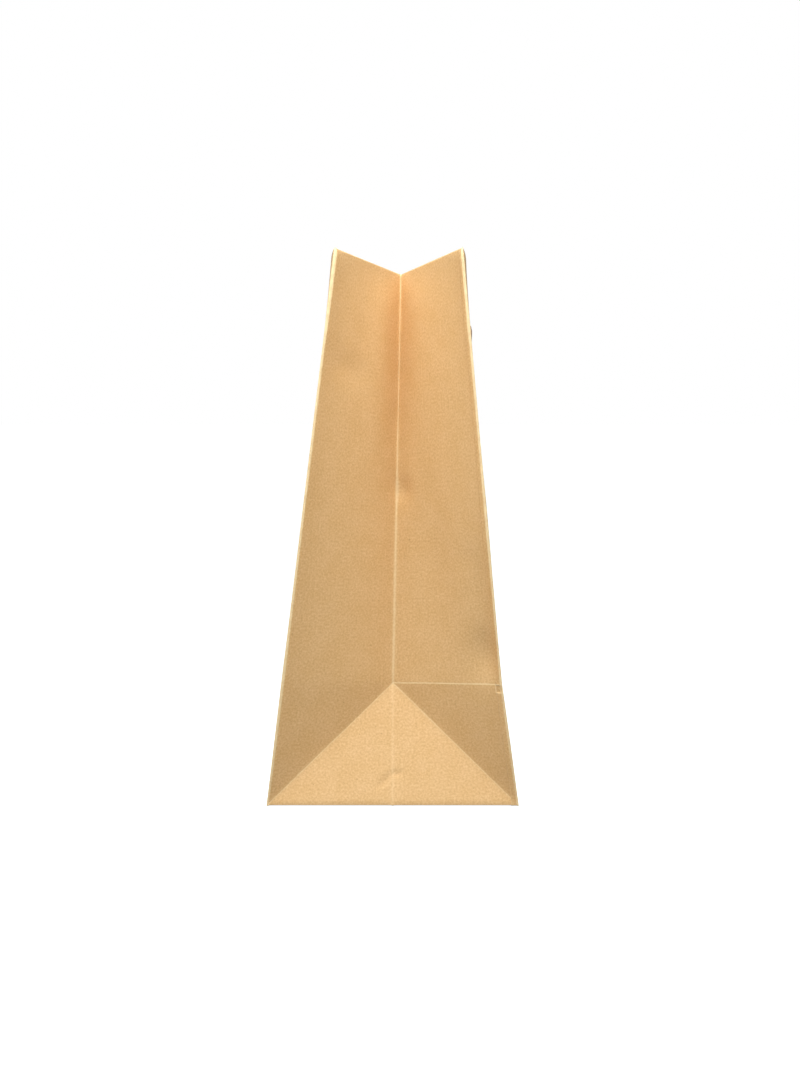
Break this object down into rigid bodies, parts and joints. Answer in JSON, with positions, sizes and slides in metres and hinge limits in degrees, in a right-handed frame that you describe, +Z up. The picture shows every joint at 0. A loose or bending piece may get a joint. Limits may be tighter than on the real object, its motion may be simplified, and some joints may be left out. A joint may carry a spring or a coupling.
{
  "type": "ribbon handle paper bag",
  "caption": "Block-bottom kraft paper bag standing open, with gusseted sides, a turned-in top and a ribbon loop handle on each broad face.",
  "frame": {"origin": "middle of the underside", "axes": "+Z up, X along the bag's width so that the two gussets face +X and -X, -Y out of the front panel; the picture looks along -X"},
  "size_m": [0.2103, 0.12, 0.2606],
  "materials": {
    "kraft_paper": "matt unbleached kraft paper",
    "ribbon": "plain woven ribbon with a soft sheen"
  },
  "bodies": {
    "root": {"bag_body": "kraft_paper", "ribbon_handle_front": "ribbon", "ribbon_handle_back": "ribbon"}
  },
  "joints": []
}
